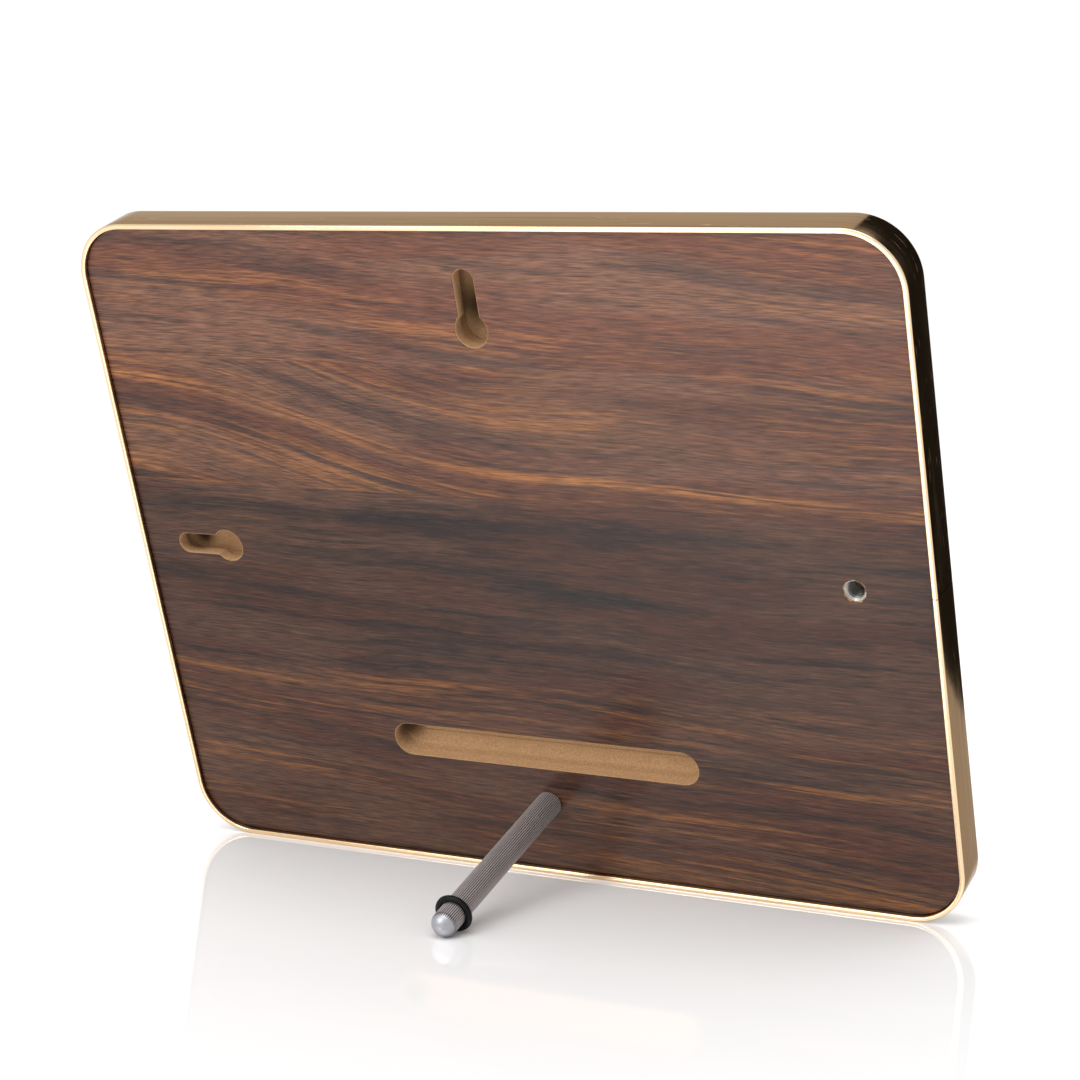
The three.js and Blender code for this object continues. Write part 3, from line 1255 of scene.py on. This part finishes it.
    def picture(self) -> bpy.types.Object:
        """Builds the printed picture.

        Returns:
            The finished piece.
        """
        back, front = BOARD.core_front - SLIVER, BOARD.print_front + SLIVER
        piece = board_slab("landscape_print", self.inset, back, front)
        soften(piece, 0.05 * MM, 1)
        return finish_piece(piece, self.body, ["photo_print"], [LandscapePrint().make()])

    def clear_face(self) -> bpy.types.Object:
        """Builds the clear sheet with polished edges.

        Returns:
            The finished piece.
        """
        piece = board_slab("clear_acrylic_face", self.inset, BOARD.print_front, BOARD.face_front)
        soften(piece, self.polish)
        piece.visible_shadow = False
        return finish_piece(piece, self.body, ["clear_face"], [ClearSheet().make()])


@dataclass
class EdgeBand:
    """The gold strip round the board, with its tongue and its butt seam."""

    body: str = "panel"
    edge_round: float = 0.5 * MM
    inner_round: float = 0.3 * MM
    tongue: float = 2.0 * MM
    tongue_depth: float = 6.4 * MM
    seam: float = 0.22 * MM

    def build(self) -> bpy.types.Object:
        """Builds the band.

        Returns:
            The finished piece.
        """
        piece = board_slab("gold_edge_band", 0.0, 0.0, -BOARD.thickness)
        self._hollow(piece)
        self._tongue(piece)
        self._round_lips(piece)
        reach = BOARD.band + self.tongue_depth + 2 * CUT
        low = Vector((-BOARD.width / 2 - CUT, -BOARD.thickness - CUT, SEAM_Z - self.seam / 2))
        high = Vector((-BOARD.width / 2 - CUT + reach, CUT, SEAM_Z + self.seam / 2))
        combine(piece, block("seam_cutter", low, high))
        smooth(piece)
        return finish_piece(piece, self.body, ["edge_band"], [GoldBand().make()])

    def _hollow(self, piece: bpy.types.Object) -> None:
        """Opens the slab into a strip of the band's thickness."""
        with Editing(piece) as edit:
            for y in (0.0, -BOARD.thickness):
                edit.faces(lambda c, n, y=y: abs(n.y) > 0.5 and abs(c.y - y) < TOUCH)
                bpy.ops.mesh.inset(thickness=BOARD.band)
                edit.faces(lambda c, n, y=y: (c - Vector((0, y, SEAM_Z))).length < MM)
                bpy.ops.mesh.delete(type="FACE")
            edit.edges(self._on_inner_rim)
            bpy.ops.mesh.bridge_edge_loops()
            edit.everything()
            bpy.ops.mesh.normals_make_consistent(inside=False)

    @staticmethod
    def _corner_reach(p: Vector) -> float:
        """Gives how far a place is outside the rectangle through the four corner centres."""
        half_x = BOARD.width / 2 - BOARD.corner_radius
        half_z = BOARD.height / 2 - BOARD.corner_radius
        return math.hypot(max(abs(p.x) - half_x, 0), max(abs(p.z - SEAM_Z) - half_z, 0))

    def _on_inner_rim(self, a: Vector, b: Vector) -> bool:
        """Tells whether an edge lies on the inner rim of the back or the front."""
        furthest = max(self._corner_reach(a), self._corner_reach(b))
        return abs(a.y - b.y) < TOUCH and furthest < BOARD.corner_radius - BOARD.band / 2

    def _on_outline(self, a: Vector, b: Vector) -> bool:
        """Tells whether an edge lies on the board's outline."""
        nearest = min(self._corner_reach(a), self._corner_reach(b))
        return nearest > BOARD.corner_radius - 2 * SLIVER

    @staticmethod
    def _on_inner_wall(centre: Vector, normal: Vector) -> bool:
        """Tells whether a face of the strip looks towards the board's middle."""
        return abs(normal.y) < 0.5 and (Vector((0, centre.y, SEAM_Z)) - centre).dot(normal) > 0

    def _tongue(self, piece: bpy.types.Object) -> None:
        """Draws a tongue out of the middle of the inner wall."""
        half = self.tongue / 2
        with Editing(piece) as edit:
            for side in (1, -1):
                edit.faces(self._on_inner_wall)
                plane = (0, BOARD.middle + side * half, 0)
                bpy.ops.mesh.bisect(plane_co=plane, plane_no=(0, 1, 0), threshold=SPLIT)
            edit.faces(lambda c, n: self._on_inner_wall(c, n) and abs(c.y - BOARD.middle) < half)
            bpy.ops.mesh.extrude_region_shrink_fatten(
                TRANSFORM_OT_shrink_fatten={"value": self.tongue_depth, "use_even_offset": True}
            )

    def _round_lips(self, piece: bpy.types.Object) -> None:
        """Rounds the outer and inner edges of the two lips."""
        with Editing(piece) as edit:
            for y in (0.0, -BOARD.thickness):
                edit.edges(lambda a, b, y=y: both_at(a, b, y) and self._on_inner_rim(a, b))
                edit.bevel(self.inner_round, 3)
                edit.edges(lambda a, b, y=y: both_at(a, b, y) and self._on_outline(a, b))
                edit.bevel(self.edge_round, 5)


@dataclass
class Insert:
    """A threaded insert let into the fibreboard."""

    name: str
    node: str
    centre: Vector
    body: str = "panel"
    radius: float = 4 * MM
    collar_radius: float = 3.08 * MM
    top: float = -1.95 * MM
    shoulder: float = -2.7 * MM
    foot: float = -8.7 * MM
    lead_in: float = 0.5 * MM
    mouth: float = THREAD.radius - 0.05 * MM

    def build(self) -> bpy.types.Object:
        """Builds the insert with its thread.

        Returns:
            The finished piece.
        """
        axis = Vector((0, 0, 0))
        piece = bar(self.name, axis, self.radius, self.shoulder, self.foot, 64)
        collar = bar("collar", axis, self.collar_radius, self.top, self.shoulder - CUT, 64)
        combine(piece, collar, "UNION")
        combine(piece, threaded_rod("thread_cutter", CUT, self.foot - CUT, -THREAD.clearance))
        clear_selection()
        bpy.ops.mesh.primitive_cone_add(
            vertices=64,
            radius1=self.mouth - self.lead_in * 2,
            radius2=self.mouth,
            depth=self.lead_in * 2,
            location=(0, self.top + SLIVER - self.lead_in, 0),
            rotation=(-math.pi / 2, 0, 0),
        )
        cone = named("lead_in_cutter")
        apply_place(cone)
        combine(piece, cone)
        smooth(piece, 30)
        move_to(piece, self.centre)
        tones = linear(186, 184, 178), linear(140, 138, 132)
        zinc = Metal("zinc", *tones, roughness=0.3, centre=self.centre, lines=0.1)
        return finish_piece(piece, self.body, [self.node], [zinc.make()])


@dataclass
class Peg:
    """The stand: a fluted peg with a domed tip, its stud, and the rubber ring it stands on."""

    radius: float = 3.8 * MM
    flutes: int = 40
    flute_depth: float = 0.32 * MM
    root: float = -1.2 * MM
    dome_base: float = 64.8 * MM
    root_chamfer: float = 0.4 * MM
    bore_depth: float = 7.1 * MM
    stud_top: float = 5.6 * MM
    stud_tip: float = -8.3 * MM
    foot_y: float = 59.7 * MM
    foot_section: float = 0.95 * MM
    steps_per_flute: int = 4
    bore_spare: float = 0.1 * MM
    envelope: float = 1.0008
    dome_round: float = 0.985
    dome_steps: int = 18
    squeeze: float = 0.02 * MM
    line_width: float = 0.04 * MM
    line_height: float = 0.015 * MM

    def build(self) -> None:
        """Builds the three pieces."""
        self.shaft()
        self.stud()
        self.foot()

    def shaft(self) -> bpy.types.Object:
        """Builds the fluted shaft, turned to a dome at its tip.

        Returns:
            The finished piece.
        """
        axis = Vector((0, 0, 0))
        tones = linear(168, 168, 172), linear(152, 152, 158)
        bare = Metal("bare_turned_tip", *tones, roughness=0.4, centre=PEG_HOLE, lines=0.08)
        end = self.dome_base + self.radius
        sides = self.flutes * self.steps_per_flute
        piece = bar("fluted_peg", axis, self.radius, end + CUT, self.root - CUT, sides)
        piece.data.materials.append(FlutedCoat().make())
        with Editing(piece) as edit:
            edit.vertices(lambda p: self._step(p) % self.steps_per_flute == 2)
            valley = 1 - self.flute_depth / self.radius
            bpy.ops.transform.resize(value=(valley, 1, valley), center_override=(0, 0, 0))
        envelope = bar("turned_envelope", axis, self.radius * self.envelope, end, self.root, 128)
        envelope.data.materials.append(bare.make())
        with Editing(envelope) as edit:
            edit.loop_at(end)
            edit.bevel(self.radius * self.dome_round, self.dome_steps)
            edit.loop_at(self.root)
            edit.bevel(self.root_chamfer, 2)
        combine(piece, envelope, "INTERSECT")
        bore = THREAD.radius + self.bore_spare
        floor = self.root + self.bore_depth
        combine(piece, bar("bore_cutter", axis, bore, floor, self.root - CUT, 48))
        with Editing(piece) as edit:
            edit.everything()
            bpy.ops.mesh.remove_doubles(threshold=WELD)
        smooth(piece, 28)
        move_to(piece, PEG_HOLE)
        return finish_piece(piece, "peg", ["peg_shaft"])

    def _step(self, p: Vector) -> int:
        """Gives the number of a vertex round the bar."""
        sides = self.flutes * self.steps_per_flute
        return round(math.atan2(p.z, p.x) / math.tau * sides) % sides

    def stud(self) -> bpy.types.Object:
        """Builds the threaded stud.

        Returns:
            The finished piece.
        """
        piece = threaded_rod("threaded_stud", self.stud_top, self.stud_tip, THREAD.clearance)
        smooth(piece, 30)
        move_to(piece, PEG_HOLE)
        tones = linear(168, 168, 166), linear(140, 140, 140)
        steel = Metal("stud_steel", *tones, roughness=0.3, centre=PEG_HOLE, lines=0.05)
        return finish_piece(piece, "stud", ["peg_stud"], [steel.make()])

    def foot(self) -> bpy.types.Object:
        """Builds the rubber ring, with a fine moulding line round its outside.

        Returns:
            The finished piece.
        """
        clear_selection()
        bpy.ops.mesh.primitive_torus_add(
            major_segments=128,
            minor_segments=32,
            major_radius=self.radius + self.foot_section - self.squeeze,
            minor_radius=self.foot_section,
            rotation=(math.pi / 2, 0, 0),
            location=(0, self.foot_y, 0),
        )
        piece = named("rubber_foot_ring")
        apply_place(piece)
        outer = self.radius + 2 * self.foot_section - 0.1 * MM
        with Editing(piece) as edit:
            half = self.line_width / 2
            edit.vertices(lambda p: abs(p.y - self.foot_y) < half and p.xz.length > outer)
            grow = 1 + self.line_height / outer
            bpy.ops.transform.resize(value=(grow, 1, grow), center_override=(0, self.foot_y, 0))
        smooth(piece, 60)
        move_to(piece, PEG_HOLE)
        return finish_piece(piece, "foot", ["foot_ring"], [Rubber().make()])


# ---- the studio ----------------------------------------------------------------------------------


@dataclass
class Studio:
    """A pale glossy table, soft lights, cards that the band mirrors, and the camera."""

    floor_size: float = 30.0
    gloss: float = 0.3
    table_tone: float = 0.95
    surround: float = 1.06
    aim: Vector = field(default_factory=lambda: Vector((0, 0, 0.08)))
    eye: Vector = field(default_factory=lambda: Vector((-346.22, 575.72, 402.6)) * MM)
    ahead: Vector = field(default_factory=lambda: Vector((0.46027, -0.87514, -0.14929)))
    roll: float = math.radians(-0.616)
    lens: float = 86.73
    sensor: float = 36.0
    card_tone: float = 0.02

    def build(self) -> None:
        """Builds the table, the lights and the camera."""
        self.floor()
        self.world()
        self.softbox("key_light", Vector((0.55, 1.3, 0.9)), 0.7, 11)
        self.softbox("top_light", Vector((-0.1, 0.45, 1.5)), 1.2, 10)
        self.card("side_card", Vector((-0.42, -0.33, 0.0)), Vector((-0.15, -0.32, 0.62)))
        self.card("corner_card", Vector((-0.15, -0.33, 0.3)), Vector((-0.03, -0.32, 0.62)))
        self.camera()

    def floor(self) -> None:
        """Lays a pale table top that mirrors the object faintly."""
        clear_selection()
        bpy.ops.mesh.primitive_plane_add(size=self.floor_size, location=(0, 0, 0))
        table = named("table_top")
        material = bpy.data.materials.new("pale_gloss_table")
        material.use_nodes = True
        tree = material.node_tree
        tree.nodes.clear()
        out = tree.nodes.new("ShaderNodeOutputMaterial")
        blend = tree.nodes.new("ShaderNodeMixShader")
        matt = tree.nodes.new("ShaderNodeBsdfDiffuse")
        shine = tree.nodes.new("ShaderNodeBsdfGlossy")
        matt.inputs["Color"].default_value = (self.table_tone, self.table_tone, self.table_tone, 1)
        shine.inputs["Color"].default_value = (1, 1, 1, 1)
        shine.inputs["Roughness"].default_value = 0.05
        blend.inputs[0].default_value = self.gloss
        tree.links.new(matt.outputs[0], blend.inputs[1])
        tree.links.new(shine.outputs[0], blend.inputs[2])
        tree.links.new(blend.outputs[0], out.inputs[0])
        table.data.materials.append(material)

    def world(self) -> None:
        """Surrounds the table with an even white light."""
        world = bpy.data.worlds.new("studio")
        bpy.context.scene.world = world
        world.use_nodes = True
        background = world.node_tree.nodes["Background"]
        background.inputs["Color"].default_value = (1, 1, 1, 1)
        background.inputs["Strength"].default_value = self.surround
        bpy.context.scene.view_settings.view_transform = "Standard"

    def softbox(self, name: str, place: Vector, size: float, power: float) -> None:
        """Hangs a square soft light aimed at the board.

        Args:
            name: The light's name.
            place: Its place in the row frame.
            size: Its side.
            power: Its power in watts.
        """
        clear_selection()
        bpy.ops.object.light_add(type="AREA", location=place)
        light = bpy.context.object
        light.name = name
        light.data.size = size
        light.data.energy = power
        light.rotation_euler = (self.aim - place).to_track_quat("-Z", "Y").to_euler()

    def card(self, name: str, low: Vector, high: Vector) -> None:
        """Stands a dark card in front of the panel, for the polished band and the table to mirror.

        Args:
            name: The card's name.
            low: Its lowest corner.
            high: Its highest corner.
        """
        card = block(name, low, high)
        paper = Shader(name)
        paper.set(base_color=(self.card_tone,) * 3, roughness=0.9, specular_ior_level=0.0)
        card.data.materials.append(paper.material)
        card.visible_camera = card.visible_diffuse = card.visible_shadow = False

    def camera(self) -> None:
        """Sets the camera behind the panel, a little above it."""
        bpy.ops.object.camera_add(location=LEANED @ self.eye)
        camera = bpy.context.object
        camera.data.lens = self.lens
        camera.data.sensor_width = self.sensor
        turn = self.ahead.normalized().to_track_quat("-Z", "Y").to_matrix().to_4x4()
        camera.rotation_euler = (turn @ Matrix.Rotation(self.roll, 4, "Z")).to_euler()
        bpy.context.scene.camera = camera


def main() -> None:
    """Builds the studio and every piece, in order."""
    logging.basicConfig(level=logging.INFO, format="%(name)s: %(message)s")
    Studio().build()
    Panel().build()
    EdgeBand().build()
    Insert("peg_thread_insert", "peg_insert", PEG_HOLE).build()
    Insert("side_thread_insert", "side_insert", SIDE_HOLE).build()
    Peg().build()


if __name__ == "__main__":
    main()
